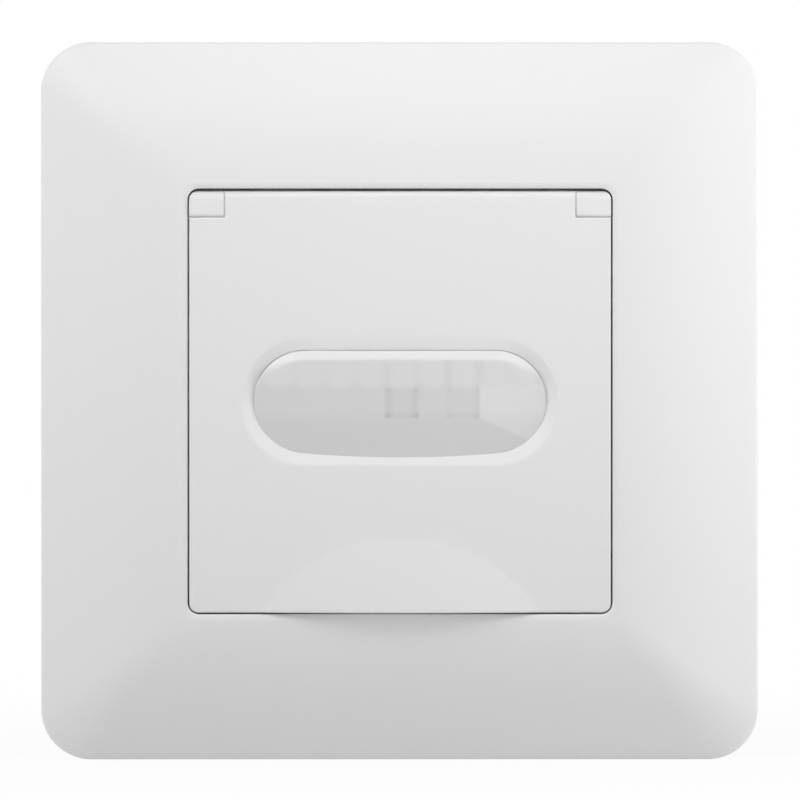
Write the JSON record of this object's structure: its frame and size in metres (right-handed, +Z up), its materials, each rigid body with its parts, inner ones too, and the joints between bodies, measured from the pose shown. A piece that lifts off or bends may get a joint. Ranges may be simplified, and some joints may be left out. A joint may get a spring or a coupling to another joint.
{
  "type": "motion sensor light switch",
  "caption": "Square flush wall switch with a motion sensor: pillow-shaped plate, hinged cover with a wide lens and a finger lip, controls under it, and a boxed sensor unit behind the wall.",
  "frame": {"origin": "centre of the wall screw circle, on the wall face", "axes": "+X right and +Z up as seen from the room, +Y into the wall"},
  "size_m": [0.08, 0.0386, 0.08],
  "materials": {
    "white_plastic": "satin moulded",
    "frosted_lens": "milky polyethylene",
    "zinc_steel": "zinc plated",
    "grey_plastic": "moulded",
    "dial_grey": "moulded",
    "board_green": "solder mask",
    "black_plastic": "moulded",
    "brass": "bright",
    "filter_glass": "polished filter",
    "lamp_red": "tinted epoxy",
    "clear_epoxy": "clear epoxy",
    "trimmer_blue": "moulded",
    "film_yellow": "boxed film",
    "fuse_ceramic": "ceramic",
    "block_ivory": "moulded",
    "spring_steel": "rolled",
    "button_orange": "moulded"
  },
  "bodies": {
    "base": {"cover_plate": "white_plastic", "front_panel": "white_plastic", "support_frame": "zinc_steel", "case_screws": "zinc_steel", "pir_can": "zinc_steel", "rear_housing": "grey_plastic", "sensor_board": "board_green", "power_board": "board_green", "board_header": "black_plastic", "pir_spacer": "black_plastic", "mode_switch": "black_plastic", "smoothing_capacitor": "black_plastic", "board_pins": "brass", "terminal_clamps": "brass", "pir_window": "filter_glass", "status_led": "lamp_red", "light_sensor": "clear_epoxy", "time_trimmer": "trimmer_blue", "lux_trimmer": "trimmer_blue", "varistor": "trimmer_blue", "relay": "trimmer_blue", "film_capacitor": "film_yellow", "fuse": "fuse_ceramic", "terminal_block": "block_ivory", "clamp_springs": "spring_steel"},
    "flap": {"hinged_cover": "white_plastic", "fresnel_lens": "frosted_lens", "lens_retainer": "grey_plastic"},
    "time_knob": {"time_dial": "dial_grey"},
    "lux_knob": {"lux_dial": "dial_grey"},
    "mode_knob": {"mode_slider": "dial_grey"},
    "line_button": {"release_button_line": "button_orange"},
    "load_button": {"release_button_load": "button_orange"},
    "neutral_button": {"release_button_neutral": "button_orange"}
  },
  "joints": [
    {"name": "cover_hinge", "type": "hinge", "parent": "base", "child": "flap", "pos_m": [0, -0.00755, 0.02195], "axis": [-1, 0, 0], "range_deg": [0, 95]},
    {"name": "time_dial_turn", "type": "hinge", "parent": "base", "child": "time_knob", "pos_m": [-0.011, -0.0028, -0.0112], "axis": [0, 1, 0], "range_deg": [-135, 135]},
    {"name": "lux_dial_turn", "type": "hinge", "parent": "base", "child": "lux_knob", "pos_m": [0.011, -0.0028, -0.0112], "axis": [0, 1, 0], "range_deg": [-135, 135]},
    {"name": "mode_slide", "type": "slide", "parent": "base", "child": "mode_knob", "axis": [1, 0, 0], "range_m": [-0.002, 0.002]},
    {"name": "line_release_press", "type": "slide", "parent": "base", "child": "line_button", "axis": [0, -1, 0], "range_m": [0, 0.0012], "stiffness_N_per_m": 800},
    {"name": "load_release_press", "type": "slide", "parent": "base", "child": "load_button", "axis": [0, -1, 0], "range_m": [0, 0.0012], "stiffness_N_per_m": 800},
    {"name": "neutral_release_press", "type": "slide", "parent": "base", "child": "neutral_button", "axis": [0, -1, 0], "range_m": [0, 0.0012], "stiffness_N_per_m": 800}
  ]
}
